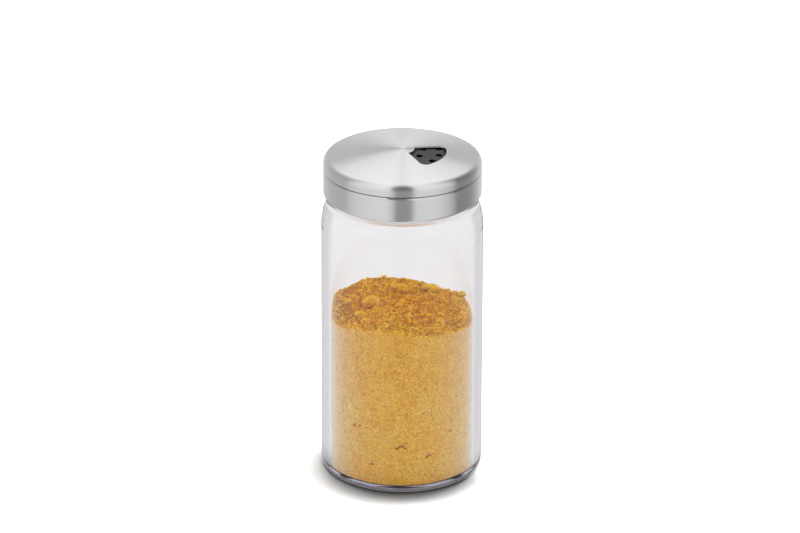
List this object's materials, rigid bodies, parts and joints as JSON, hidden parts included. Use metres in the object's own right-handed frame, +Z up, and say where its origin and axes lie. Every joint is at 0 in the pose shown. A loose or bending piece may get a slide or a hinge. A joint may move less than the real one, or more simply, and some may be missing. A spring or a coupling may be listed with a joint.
{
  "type": "spice shaker",
  "caption": "Glass spice shaker with a screw cap and a turning steel dial whose window opens on sprinkle holes, a pour opening or a blank face.",
  "frame": {"origin": "middle of the jar's base, on the surface that it stands on", "axes": "+Z up along the jar's axis; +X towards the dial's sprinkle stop"},
  "size_m": [0.05, 0.05, 0.105],
  "materials": {
    "glass": "clear, polished",
    "powder": "loose ground spice, rough and matt",
    "silicone": "smooth, slightly milky",
    "black_plastic": "moulded, satin black",
    "sieve_plastic": "moulded, satin dark grey",
    "brushed_steel": "brushed round the axis"
  },
  "bodies": {
    "jar": {"glass_jar": "glass", "spice_powder": "powder"},
    "gasket": {"mouth_gasket": "silicone"},
    "cap": {"thread_sleeve": "black_plastic", "sieve_disc": "sieve_plastic", "collar_band": "brushed_steel"},
    "dial": {"dial_ring": "black_plastic", "dial_cover": "brushed_steel"}
  },
  "joints": [
    {"name": "cap_lift", "type": "slide", "parent": "jar", "child": "gasket", "axis": [0, 0, 1], "range_m": [0, 0.00701]},
    {"name": "cap_turn", "type": "hinge", "parent": "gasket", "child": "cap", "pos_m": [0, 0, 0.097], "axis": [0, 0, 1], "range_deg": [0, 900]},
    {"name": "dial_turn", "type": "hinge", "parent": "cap", "child": "dial", "pos_m": [0, 0, 0.101], "axis": [0, 0, 1], "continuous": true}
  ],
  "couplings": [
    {"joint": "cap_lift", "follows": "cap_turn", "m_per_rad": 0.00044563}
  ]
}
